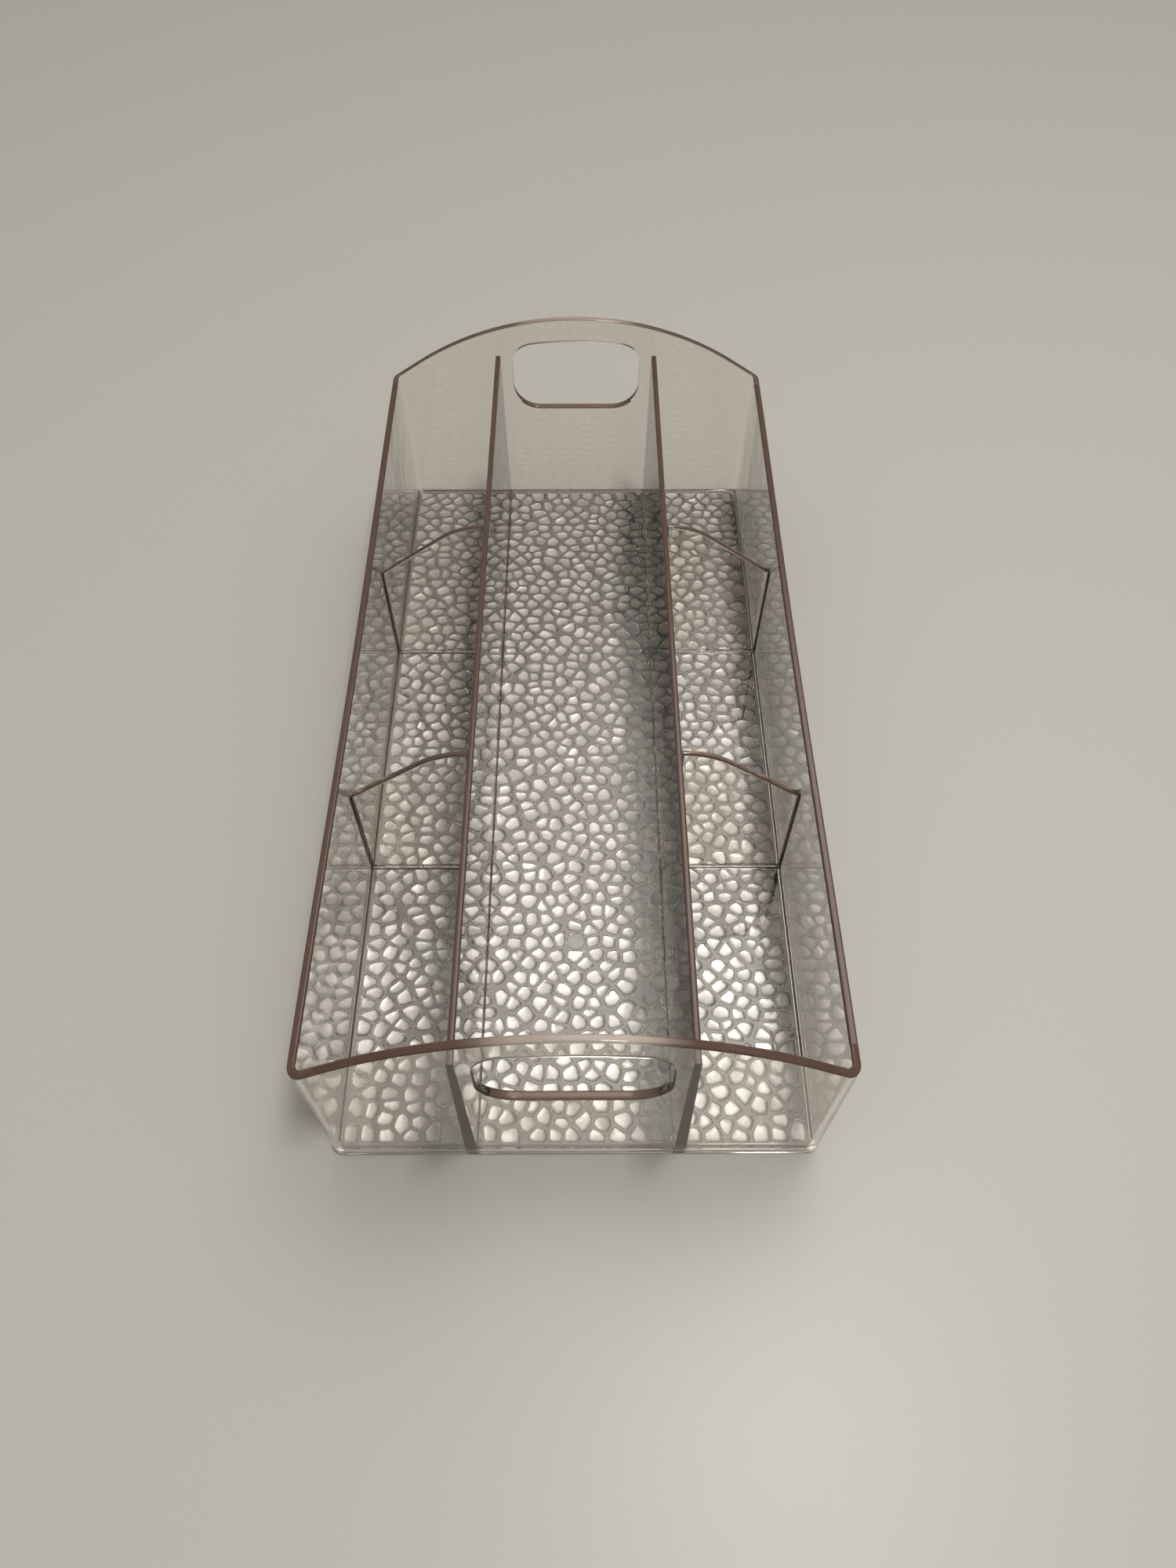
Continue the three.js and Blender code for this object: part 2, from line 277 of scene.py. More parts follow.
class Piece:
    """Points and faces of one closed piece, gathered in millimetres."""

    def __init__(self):
        self.points = []
        self.faces = []
        self.zones = []  # for each further material, the numbers of the faces that take it

    def loop(self, points):
        """Adds points and gives their numbers."""
        first = len(self.points)
        self.points.extend(points)
        return list(range(first, len(self.points)))

    def band(self, one, other):
        """Quads between two closed loops of the same length."""
        count = len(one)
        for i in range(count):
            j = (i + 1) % count
            self.faces.append((one[i], one[j], other[j], other[i]))

    def bands(self, loops):
        for one, other in zip(loops, loops[1:]):
            self.band(one, other)

    def fill(self, outline, holes, flatten):
        """Triangles between an outline and its holes, all given as loops of point numbers."""
        rings = [outline, *holes]
        numbers = [n for ring in rings for n in ring]
        flat = [Vector(flatten(self.points[n])) for n in numbers]
        polygons = []
        start = 0
        for ring in rings:
            polygon = list(range(start, start + len(ring)))
            start += len(ring)
            turning = sum(flat[a].cross(flat[b]) for a, b in zip(polygon, polygon[1:] + polygon[:1]))
            polygons.append(polygon if turning > 0 else polygon[::-1])
        _, _, triangles, sources, _, polygons_of = delaunay_2d_cdt(flat, [], polygons, 1, 1e-7, True)
        for triangle, within in zip(triangles, polygons_of):
            if list(within) == [0]:
                self.faces.append(tuple(numbers[sources[v][0]] for v in triangle))

    def build(self, node, material, weighted=True, zone_materials=(), shades=True):
        """Makes the mesh that is shown in place of a CAD node.

        shades=False keeps the piece from casting a shadow, so the key light reaches what is below it
        as it does through real clear plastic.
        """
        name = f"clear_{node}"
        mesh = bpy.data.meshes.new(name)
        mesh.from_pydata([[c * MM for c in p] for p in self.points], [], self.faces)
        shell = bmesh.new()
        shell.from_mesh(mesh)
        bmesh.ops.recalc_face_normals(shell, faces=shell.faces)
        open_edges = sum(1 for edge in shell.edges if len(edge.link_faces) != 2)
        if open_edges:
            raise ValueError(f"{name} has {open_edges} edges that don't join two faces")
        shell.to_mesh(mesh)
        shell.free()
        mesh.shade_smooth()
        mesh.set_sharp_from_angle(angle=SHARP_ANGLE)
        mesh.materials.append(material)
        for index, zone_material in enumerate(zone_materials):
            mesh.materials.append(zone_material)
            for number in self.zones[index]:
                mesh.polygons[number].material_index = index + 1
        piece = bpy.data.objects.new(name, mesh)
        bpy.context.scene.collection.objects.link(piece)
        piece.visible_shadow = shades
        if weighted:
            normals = piece.modifiers.new("normals", "WEIGHTED_NORMAL")
            normals.keep_sharp = True
            normals.weight = FLAT_FACE_WEIGHT
        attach(piece, "root")
        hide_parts(node)


def wall_section(outer, inner, foot, outer_top, inner_top, radius):
    """One slice of a wall, up its outer face, over the rounded rim and down its inner face."""

    def across(z, depth, from_inner):
        a = Vector(outer(z))
        b = Vector(inner(z))
        share = depth / (b - a).length
        x, y = b.lerp(a, share) if from_inner else a.lerp(b, share)
        return (x, y, z)

    section = [(*outer(foot), foot)]
    for cosine, sine in quarter(ROUND_STEPS):
        section.append(across(outer_top - radius * (1 - sine), radius * (1 - cosine), False))
    for cosine, sine in reversed(list(quarter(ROUND_STEPS))):
        section.append(across(inner_top - radius * (1 - sine), radius * (1 - cosine), True))
    section.append((*inner(foot), foot))
    return section


def rim_faces(first, slices, around):
    """The faces on top of a sweep of wall slices, each a loop of as many points as around says."""
    numbers = []
    for row in range(slices):
        start = first + row * around
        numbers.extend(range(start + 2, start + around - 3))
    return numbers


def side_wall(side, material, rim_material):
    piece = Piece()
    end = SEAM_Y + OVERLAP
    sections = []
    for step in range(SIDE_WALL_SLICES + 1):
        y = mix(-end, end, step / SIDE_WALL_SLICES)

        def outer(z, y=y):
            return (side * (outer_half_width(z) - side_bow(y, z)), y)

        def inner(z, y=y):
            return (side * (inner_half_width(z) - side_bow(y, z)), y)

        section = wall_section(outer, inner, WALL_FOOT, SIDE_HEIGHT, SIDE_HEIGHT, RIM_ROUND)
        sections.append(piece.loop(section))
    piece.bands(sections)
    piece.zones = [rim_faces(0, SIDE_WALL_SLICES, len(sections[0]))]
    piece.faces.append(tuple(sections[0]))
    piece.faces.append(tuple(sections[-1]))
    node = "left_side_wall" if side < 0 else "right_side_wall"
    piece.build(node, material, zone_materials=(rim_material,))


def end_wall_columns():
    """Where the end wall's slices stand in plan, from one leg's seam to the other.

    Each is an outer and an inner (x, y) rule of height for the +Y end.
    """
    half = []

    def corner(angle):
        def outer(z):
            x = outer_half_width(z) - CORNER_RADIUS * (1 - math.cos(angle))
            return x, outer_half_length(z) - CORNER_RADIUS * (1 - math.sin(angle))

        def inner(z):
            x = inner_half_width(z) - INNER_CORNER_RADIUS * (1 - math.cos(angle))
            return x, inner_half_length(z) - INNER_CORNER_RADIUS * (1 - math.sin(angle))

        return outer, inner

    half.append((lambda z: (outer_half_width(z), SEAM_Y), lambda z: (inner_half_width(z), SEAM_Y)))
    for step in range(CORNER_STEPS + 1):
        half.append(corner(0.5 * math.pi * step / CORNER_STEPS))
    for x in range(END_WALL_STRAIGHT, 0, -END_WALL_STEP):
        half.append((lambda z, x=x: (x, outer_half_length(z)), lambda z, x=x: (x, inner_half_length(z))))
    middle = [(lambda z: (0.0, outer_half_length(z)), lambda z: (0.0, inner_half_length(z)))]
    mirrored = []
    for outer, inner in reversed(half):
        mirrored.append(
            (
                lambda z, rule=outer: (-rule(z)[0], rule(z)[1]),
                lambda z, rule=inner: (-rule(z)[0], rule(z)[1]),
            )
        )
    return half + middle + mirrored


def slot_outline(grow):
    """The hand slot's outline in x and z, grown by a distance all round."""
    bottom_x = SLOT_HALF_WIDTH - SLOT_BOTTOM_RADIUS
    bottom_z = SLOT_BOTTOM + SLOT_BOTTOM_RADIUS
    top_x = SLOT_HALF_WIDTH - SLOT_TOP_RADIUS
    top_z = SLOT_TOP - SLOT_ROOF_DROP - SLOT_TOP_RADIUS
    roof_reach = (top_x**2 + SLOT_ROOF_DROP**2) / (2 * SLOT_ROOF_DROP)
    roof_radius = roof_reach + SLOT_TOP_RADIUS
    roof_angle = math.asin(top_x / roof_reach)
    up = 0.5 * math.pi
    arcs = [
        (-bottom_x, bottom_z, SLOT_BOTTOM_RADIUS, 2 * up, 3 * up),
        (bottom_x, bottom_z, SLOT_BOTTOM_RADIUS, 3 * up, 4 * up),
        (top_x, top_z, SLOT_TOP_RADIUS, 0.0, up - roof_angle),
        (0.0, SLOT_TOP - roof_radius, roof_radius, up - roof_angle, up + roof_angle),
        (-top_x, top_z, SLOT_TOP_RADIUS, up + roof_angle, 2 * up),
    ]
    points = []
    for number, (x, z, radius, start, stop) in enumerate(arcs):
        first = 1 if number in (3, 4) else 0
        for step in range(first, CORNER_STEPS + 1):
            angle = mix(start, stop, step / CORNER_STEPS)
            reach = radius + grow
            points.append((x + reach * math.cos(angle), z + reach * math.sin(angle)))
    return points


def end_wall(end, material, rim_material, lip_material):
    piece = Piece()
    rim = []
    columns = end_wall_columns()
    sections = []
    middles = []
    for number, (outer, inner) in enumerate(columns):
        outer_top = crown_height(outer(SIDE_HEIGHT)[0])
        inner_top = crown_height(inner(SIDE_HEIGHT)[0])

        def placed_outer(z, rule=outer):
            return rule(z)[0], end * rule(z)[1]

        def placed_inner(z, rule=inner):
            return rule(z)[0], end * rule(z)[1]

        section = wall_section(placed_outer, placed_inner, WALL_FOOT, outer_top, inner_top, RIM_ROUND)
        sections.append(piece.loop(section))
        if abs(outer(0)[0]) <= SLOT_ZONE:
            middles.append(number)
    last = len(sections[0]) - 1
    for number, (one, other) in enumerate(zip(sections, sections[1:])):
        in_slot_zone = middles[0] <= number < middles[-1]
        for i in range(last + 1):
            j = (i + 1) % (last + 1)
            if in_slot_zone and i in (0, last - 1):
                continue
            if 2 <= i < last - 2:
                rim.append(len(piece.faces))
            piece.faces.append((one[i], one[j], other[j], other[i]))
    piece.zones = [rim]
    piece.faces.append(tuple(sections[0]))
    piece.faces.append(tuple(sections[-1]))

    def slot_loop(grow, depth, from_inner):
        points = []
        for x, z in slot_outline(grow):
            y = inner_half_length(z) + depth if from_inner else outer_half_length(z) - depth
            points.append((x, end * y, z))
        return piece.loop(points)

    lips = []
    first_lip_face = len(piece.faces)
    for from_inner in (False, True):
        loops = []
        for cosine, sine in quarter(ROUND_STEPS):
            loops.append(slot_loop(SLOT_ROUND * (1 - sine), SLOT_ROUND * (1 - cosine), from_inner))
        piece.bands(loops)
        lips.append(loops)
    piece.band(lips[0][-1], lips[1][-1])
    # the slot lip's lowest faces take the painted brown shade
    lip = []
    for number in range(first_lip_face, len(piece.faces)):
        if max(piece.points[n][2] for n in piece.faces[number]) < SLOT_BOTTOM + LIP_PAINTED_SHADE_HEIGHT:
            lip.append(number)
    piece.zones.append(lip)
    zone = sections[middles[0] : middles[-1] + 1]
    for foot, top, hole in ((0, 1, lips[0][0]), (last, last - 1, lips[1][0])):
        outline = [section[foot] for section in zone] + [section[top] for section in reversed(zone)]
        piece.fill(outline, [hole], lambda p: (p[0], p[2]))
    piece.build(
        "front_end_wall" if end < 0 else "rear_end_wall",
        material,
        zone_materials=(rim_material, lip_material),
        shades=False,
    )


def blade_section(half, foot, top, radius, fillet):
    """Half of a divider's slice as (offset, height) pairs: fillet at its foot, straight side, round top."""
    side = [(half(foot + fillet) + fillet, foot - OVERLAP)]
    for cosine, sine in quarter(ROUND_STEPS):
        height = foot + fillet * (1 - cosine)
        side.append((half(foot + fillet) + fillet * (1 - sine), height))
    for cosine, sine in quarter(ROUND_STEPS):
        height = top - radius * (1 - sine)
        side.append((half(height) - radius * (1 - cosine), height))
    return side


def blade_rim(first, slices, around):
    """The faces on top of a sweep of divider slices, which hold their rim points in the middle."""
    reach = ROUND_STEPS - 1
    middle = around // 2 - 1
    numbers = []
    for row in range(slices):
        start = first + row * around
        numbers.extend(range(start + middle - reach, start + middle + reach + 1))
    return numbers


def long_divider(side, material, rim_material, end_material):
    piece = Piece()
    half_slice = blade_section(divider_half, FLOOR_TOP, DIVIDER_TOP, RIM_ROUND, FOOT_FILLET)
    outline = half_slice + [(-x, z) for x, z in reversed(half_slice)]
    sections = []
    for step in range(LONG_DIVIDER_SLICES + 1):
        along = mix(-1, 1, step / LONG_DIVIDER_SLICES)
        points = []
        for x, z in outline:
            points.append((side * DIVIDER_X + x, along * (inner_half_length(z) + OVERLAP), z))
        sections.append(piece.loop(points))
    piece.bands(sections)
    first_cap = len(piece.faces)
    # the end caps take the painted brown shade
    piece.zones = [blade_rim(0, LONG_DIVIDER_SLICES, len(outline)), [first_cap, first_cap + 1]]
    piece.faces.append(tuple(sections[0]))
    piece.faces.append(tuple(sections[-1]))
    node = "left_long_divider" if side < 0 else "right_long_divider"
    piece.build(node, material, zone_materials=(rim_material, end_material))


def cross_divider(side, end, material, rim_material, seam_material):
    piece = Piece()

    def face(z):
        return DIVIDER_X + divider_half(z) - OVERLAP

    def wall(z):
        return inner_half_width(z) - side_bow(CROSS_Y, z) + OVERLAP

    arc_x = face(CROSS_HIGH) + OVERLAP
    slope_x = arc_x + CROSS_ARC_RADIUS * math.sin(CROSS_SLOPE)
    slope_z = CROSS_HIGH - CROSS_ARC_RADIUS * (1 - math.cos(CROSS_SLOPE))

    def top_edge(x):
        if x < arc_x:
            return CROSS_HIGH
        if x < slope_x:
            return CROSS_HIGH - CROSS_ARC_RADIUS + math.sqrt(CROSS_ARC_RADIUS**2 - (x - arc_x) ** 2)
        low = slope_z - (x - slope_x) * math.tan(CROSS_SLOPE)
        to_wall = wall(low) - x
        rise = max(0.0, 1 - to_wall / WALL_FILLET)
        return low + 0.5 * WALL_FILLET * rise * rise

    span = wall(0.5 * CROSS_HIGH) - face(0.5 * CROSS_HIGH)
    near_end = [END_FILLET * (1 - cosine) / span for cosine, sine in quarter(ROUND_STEPS)]
    middle = []
    for step in range(1, CROSS_DIVIDER_SLICES):
        middle.append(mix(near_end[-1], 1 - near_end[-1], step / CROSS_DIVIDER_SLICES))
    sections = []
    for share in near_end + middle + [1 - place for place in reversed(near_end)]:
        top = CROSS_HIGH
        for _ in range(CROSS_TOP_ROUNDS):
            top = top_edge(mix(face(top), wall(top), share))
        reach = max(0.0, 1 - min(share, 1 - share) * span / END_FILLET)
        flare = END_FILLET * (1 - math.sqrt(1 - reach * reach))

        def half(z, flare=flare):
            return cross_half(z) + flare

        half_slice = blade_section(half, FLOOR_TOP, top, CROSS_ROUND, FOOT_FILLET)
        outline = half_slice + [(-y, z) for y, z in reversed(half_slice)]
        points = []
        for y, z in outline:
            points.append((side * mix(face(z), wall(z), share), end * CROSS_Y + y, z))
        sections.append(piece.loop(points))
    piece.bands(sections)
    around = len(outline)
    slices = len(sections) - 1
    rim = blade_rim(0, slices, around)
    # faces at the joins and the foot take the painted brown shade
    seams = []
    for number in range(slices * around):
        row, place = divmod(number, around)
        at_end = row < SEAM_SLICES or row >= slices - SEAM_SLICES
        at_foot = place in SEAM_FOOT_BANDS or around - 2 - place in SEAM_FOOT_BANDS
        if (at_end or at_foot) and number not in rim and place != around - 1:
            seams.append(number)
    piece.zones = [rim, seams]
    piece.faces.append(tuple(sections[0]))
    piece.faces.append(tuple(sections[-1]))
    hand = "left" if side < 0 else "right"
    part = "front" if end < 0 else "rear"
    piece.build(
        f"{hand}_{part}_cross_divider",
        material,
        zone_materials=(rim_material, seam_material),
        shades=False,
    )


def foot_ring(material):
    piece = Piece()
    inner_width = BASE_HALF_WIDTH - FOOT_WIDTH
    inner_length = BASE_HALF_LENGTH - FOOT_WIDTH
    top = WALL_FOOT + OVERLAP
    top_width = outer_half_width(top)
    top_length = outer_half_length(top)
    levels = [
        (top_width - FOOT_GROOVE, top_length - FOOT_GROOVE, CORNER_RADIUS - FOOT_GROOVE, top),
        (top_width, top_length, CORNER_RADIUS, WALL_FOOT - FOOT_GROOVE),
    ]
    for cosine, sine in quarter(ROUND_STEPS):
        inset = FOOT_ROUND * (1 - cosine)
        z = FOOT_ROUND * (1 - sine)
        width = outer_half_width(z) - inset
        levels.append((width, outer_half_length(z) - inset, CORNER_RADIUS - inset, z))
    for cosine, sine in reversed(list(quarter(ROUND_STEPS))):
        inset = FOOT_ROUND * (1 - cosine)
        z = FOOT_ROUND * (1 - sine)
        levels.append((inner_width + inset, inner_length + inset, INNER_CORNER_RADIUS + inset, z))
    levels.append((inner_width, inner_length, INNER_CORNER_RADIUS, top))
    loops = []
    for half_width, half_length, radius, z in levels:
        plan = rounded_plan(half_width, half_length, radius)
        loops.append(piece.loop([(x, y, z) for x, y in plan]))
    piece.bands([*loops, loops[0]])
    piece.build("foot_ring", material)


def pebble_sites(chance):
    """Pebble centres on a shaken triangular grid between the walls, each with its greed for room."""
    sites = []
    rows = round(PEBBLE_EDGE_Y / PEBBLE_ROW_STEP - 0.5)
    shake_x = PEBBLE_JITTER * PEBBLE_PITCH
    shake_y = PEBBLE_JITTER * PEBBLE_ROW_STEP
    most_x = PEBBLE_EDGE_X - PEBBLE_WALL_ROOM
    most_y = PEBBLE_EDGE_Y - PEBBLE_WALL_ROOM
    for row in range(-rows, rows + 1):
        odd = row % 2
        for place in range(-PEBBLE_COLUMNS, PEBBLE_COLUMNS + 1 - odd):
            x = (place + 0.5 * odd) * PEBBLE_PITCH + chance.uniform(-1, 1) * shake_x
            y = row * PEBBLE_ROW_STEP + chance.uniform(-1, 1) * shake_y
            x = max(-most_x, min(most_x, x))
            y = max(-most_y, min(most_y, y))
            greed = chance.uniform(-1, 1) * PEBBLE_UNEVEN
            from_gate = Vector((x - GATE_MARK[0], y - GATE_MARK[1]))
            if from_gate.length < GATE_CORE:
                continue
            if from_gate.length < GATE_CLEARANCE:
                x = GATE_MARK[0] + from_gate.x * GATE_CLEARANCE / from_gate.length
                y = GATE_MARK[1] + from_gate.y * GATE_CLEARANCE / from_gate.length
            if all(math.hypot(x - there[0], y - there[1]) > PEBBLE_LEAST_SPACING for there in sites):
                sites.append((x, y, greed))
    return sites


def pebble_outline(site, sites, chance):
    """The outline of one pebble at even angles, each as (cosine, sine, radius).

    Each neighbour allows the pebble about half the way to it, less half the gap. A high power of those
    limits blends them into one rounded outline.
    """
    x, y, greed = site
    limits = []
    for other_x, other_y, other_greed in sites:
        dx = other_x - x
        dy = other_y - y
        distance = math.hypot(dx, dy)
        if 0 < distance < PEBBLE_NEIGHBOURHOOD:
            room = (distance - PEBBLE_GAP + greed - other_greed) / 2
            limits.append((dx / distance, dy / distance, max(room, PEBBLE_LEAST_ROOM)))
    limits.append((1, 0, PEBBLE_EDGE_X - x))
    limits.append((-1, 0, PEBBLE_EDGE_X + x))
    limits.append((0, 1, PEBBLE_EDGE_Y - y))
    limits.append((0, -1, PEBBLE_EDGE_Y + y))
    gate_x = GATE_MARK[0] - x
    gate_y = GATE_MARK[1] - y
    to_gate = math.hypot(gate_x, gate_y)
    limits.append((gate_x / to_gate, gate_y / to_gate, to_gate - GATE_RADIUS - 0.5 * PEBBLE_GAP))
    turn = chance.uniform(0, 2 * math.pi)
    sharpness = chance.uniform(*PEBBLE_SHARPNESS)
    outline = []
    for side in range(PEBBLE_SIDES):
        angle = turn + 2 * math.pi * side / PEBBLE_SIDES
        cosine = math.cos(angle)
        sine = math.sin(angle)
        total = PEBBLE_MOST_RADIUS**-sharpness
        for nx, ny, room in limits:
            facing = max(0.0, nx * cosine + ny * sine)
            total += (facing / room) ** sharpness
        outline.append((cosine, sine, total ** (-1 / sharpness)))
    return outline


def floor_panel(material, *relief_materials):
    """The floor: flat above, with a cove up to the walls, and pebbles and the gate mark below.

    The relief's materials are those of the pebbles, their flanks, the grooves and the web; the last three
    are painted shade.
    """
    piece = Piece()
    chance = random.Random(PEBBLE_SEED)
    levels = [(WEB_UNDERSIDE, -OVERLAP)]
    for cosine, sine in quarter(COVE_STEPS):
        levels.append((FLOOR_TOP + COVE_RADIUS * (1 - sine), COVE_RADIUS * (1 - cosine) - OVERLAP))
    levels.append((FLOOR_TOP, COVE_RADIUS + FLAT_INSET))
    loops = []
    for z, inset in levels:
        radius = INNER_CORNER_RADIUS + FLOOR_CORNER_EXTRA + max(0.0, FLOOR_CORNER_GROWTH * inset)
        plan = rounded_plan(inner_half_width(z) - inset, inner_half_length(z) - inset, radius)
        loops.append(piece.loop([(x, y, z) for x, y in plan]))
    piece.bands(loops)
    piece.faces.append(tuple(loops[-1]))

    sites = pebble_sites(chance)
    pebbles = []
    flanks = []
    grooves = []
    holes = []

    def bump(centre, outline, depth, profile, lean, tilt, shift):
        """One pebble or mark below the web. Gives the faces of its flat part.

        The first band of its profile is all groove, painted dark as an outline of shade. The second is
        groove, a painted crescent of shade, where it faces away from the shift, and painted flank shade
        elsewhere.
        """
        rings = []
        least = min(radius for _, _, radius in outline)
        flat_part = profile[2][0]
        for part, share in profile:
            points = []
            aside = least * shift * min(1.0, (1 - part) / (1 - flat_part))
            centre_x = centre[0] + aside * math.cos(PEBBLE_SHIFT_TOWARDS)
            centre_y = centre[1] + aside * math.sin(PEBBLE_SHIFT_TOWARDS)
            for cosine, sine, radius in outline:
                reach = radius * part
                slant = tilt * part * (cosine * math.cos(lean) + sine * math.sin(lean))
                low = depth * share * (1 - slant)
                points.append((centre_x + cosine * reach, centre_y + sine * reach, WEB_UNDERSIDE - low))
            rings.append(piece.loop(points))
        first = len(piece.faces)
        piece.bands(rings)
        tip = piece.loop([(centre_x, centre_y, WEB_UNDERSIDE - depth)])[0]
        count = len(outline)
        for i in range(count):
            piece.faces.append((rings[-1][i], rings[-1][(i + 1) % count], tip))
        holes.append(rings[0])
        # the groove band and the flanks facing away from the shift take the painted dark crescent of shade
        for i, (cosine, sine, _) in enumerate(outline):
            toward = cosine * math.cos(PEBBLE_SHIFT_TOWARDS) + sine * math.sin(PEBBLE_SHIFT_TOWARDS)
            grooves.append(first + i)
            steep = grooves if toward < PEBBLE_PAINTED_CRESCENT else flanks
            steep.append(first + count + i)
        return range(first + 2 * count, len(piece.faces))

    for site in sites:
        outline = pebble_outline(site, sites, chance)
        depth = PEBBLE_DEPTH * chance.uniform(*PEBBLE_DEPTH_SPREAD)
        lean = PEBBLE_SHIFT_TOWARDS + chance.uniform(-1, 1) * PEBBLE_LEAN_SPREAD
        tilt = chance.uniform(*PEBBLE_TILT)
        shift = chance.uniform(*PEBBLE_SHIFT)
        pebbles.extend(bump(site[:2], outline, depth, PEBBLE_PROFILE, lean, tilt, shift))
    turn = 2 * math.pi / GATE_SIDES
    ring = [(math.cos(i * turn), math.sin(i * turn), GATE_RADIUS) for i in range(GATE_SIDES)]
    bump(GATE_MARK, ring, GATE_DEPTH, GATE_PROFILE, lean=0.0, tilt=0.0, shift=0.0)
    first = len(piece.faces)
    piece.fill(loops[0], holes, lambda p: (p[0], p[1]))
    # flanks, grooves and the web fill take the painted shade materials
    piece.zones = [pebbles, flanks, grooves, range(first, len(piece.faces))]
    piece.build(
        "floor_panel",
        material,
        weighted=False,
        zone_materials=relief_materials,
        shades=False,
    )


def clear_plastic(
    name,
    tint,
    ripple,
    gloss,
    silver=0.0,
    ripple_scale=45,
    tone_scale=16,
    tone_low=0.975,
):
    """Clear moulded plastic: colour from its depth, faint flow ripples and patches of wear in its gloss.

    ripple is the height of the flow ripples in metres, gloss the least and the most roughness, silver
    the metallic part, and tone_low the darkest patches' part of the tint.
    """
    material = bpy.data.materials.new(name)
    material.use_nodes = True
    nodes = material.node_tree.nodes
    links = material.node_tree.links
    shader = nodes["Principled BSDF"]
    shader.inputs["Transmission Weight"].default_value = 1.0
    shader.inputs["IOR"].default_value = PLASTIC_IOR
    shader.inputs["Metallic"].default_value = silver
    place = nodes.new("ShaderNodeTexCoord")

    streaks = nodes.new("ShaderNodeTexNoise")
    streaks.inputs["Scale"].default_value = tone_scale
    streaks.inputs["Detail"].default_value = 2
    links.new(place.outputs["Object"], streaks.inputs["Vector"])
    tone = nodes.new("ShaderNodeMix")
    tone.data_type = "RGBA"
    tone.inputs["A"].default_value = (*tint, 1)
    tone.inputs["B"].default_value = (*[c * tone_low for c in tint], 1)
    links.new(streaks.outputs["Fac"], tone.inputs["Factor"])
    links.new(tone.outputs["Result"], shader.inputs["Base Color"])

    wear = nodes.new("ShaderNodeTexNoise")
    wear.inputs["Scale"].default_value = 70
    wear.inputs["Detail"].default_value = 6
    wear.inputs["Roughness"].default_value = 0.65
    links.new(place.outputs["Object"], wear.inputs["Vector"])
    roughness = nodes.new("ShaderNodeMapRange")
    roughness.inputs["From Min"].default_value = 0.45
    roughness.inputs["From Max"].default_value = 0.75
    roughness.inputs["To Min"].default_value = gloss[0]
    roughness.inputs["To Max"].default_value = gloss[1]
    links.new(wear.outputs["Fac"], roughness.inputs["Value"])
    links.new(roughness.outputs["Result"], shader.inputs["Roughness"])

    flow = nodes.new("ShaderNodeTexNoise")
    flow.inputs["Scale"].default_value = ripple_scale
    flow.inputs["Detail"].default_value = 1
    links.new(place.outputs["Object"], flow.inputs["Vector"])
    bump = nodes.new("ShaderNodeBump")
    bump.inputs["Strength"].default_value = 1.0
    bump.inputs["Distance"].default_value = ripple
    links.new(flow.outputs["Fac"], bump.inputs["Height"])
    links.new(bump.outputs["Normal"], shader.inputs["Normal"])

    volume = nodes.new("ShaderNodeVolumeAbsorption")
    volume.inputs["Color"].default_value = (*SMOKE, 1)
    volume.inputs["Density"].default_value = SMOKE_DENSITY
    links.new(volume.outputs["Volume"], nodes["Material Output"].inputs["Volume"])
    return material


def edge_plastic(name, brown, clear_share, pale=RIM_PALE):
    """Rims, lips and seams, painted brown as shade that stands in for the long way the eye sees into the
    plastic there.

    Near the middle of the end walls there is little plastic below the edge, so the painted shade fades to
    pale.
    """
    material = clear_plastic(name, TINT, ripple=0.00003, gloss=(0.05, 0.14))
    nodes = material.node_tree.nodes
    links = material.node_tree.links
    shader = nodes["Principled BSDF"]
    shader.inputs["Transmission Weight"].default_value = clear_share
    place = nodes.new("ShaderNodeTexCoord")
    axes = nodes.new("ShaderNodeSeparateXYZ")
    links.new(place.outputs["Object"], axes.inputs["Vector"])
    offset = nodes.new("ShaderNodeMath")
    offset.operation = "ABSOLUTE"
    links.new(axes.outputs["X"], offset.inputs[0])
    fade = nodes.new("ShaderNodeMapRange")
    fade.interpolation_type = "SMOOTHSTEP"
    fade.inputs["From Min"].default_value = PALE_TO_X
    fade.inputs["From Max"].default_value = BROWN_FROM_X
    links.new(offset.outputs["Value"], fade.inputs["Value"])
    grain = nodes.new("ShaderNodeTexNoise")
    grain.inputs["Scale"].default_value = 120
    grain.inputs["Detail"].default_value = 3
    links.new(place.outputs["Object"], grain.inputs["Vector"])
    brown_mix = nodes.new("ShaderNodeMix")
    brown_mix.data_type = "RGBA"
    brown_mix.inputs["A"].default_value = (*[c * (1 - BROWN_UNEVEN) for c in brown], 1)
    brown_mix.inputs["B"].default_value = (*[c * (1 + BROWN_UNEVEN) for c in brown], 1)
    links.new(grain.outputs["Fac"], brown_mix.inputs["Factor"])
    tone = nodes.new("ShaderNodeMix")
    tone.data_type = "RGBA"
    tone.inputs["A"].default_value = (*pale, 1)
    links.new(fade.outputs["Result"], tone.inputs["Factor"])
    links.new(brown_mix.outputs["Result"], tone.inputs["B"])
    links.new(tone.outputs["Result"], shader.inputs["Base Color"])
    return material


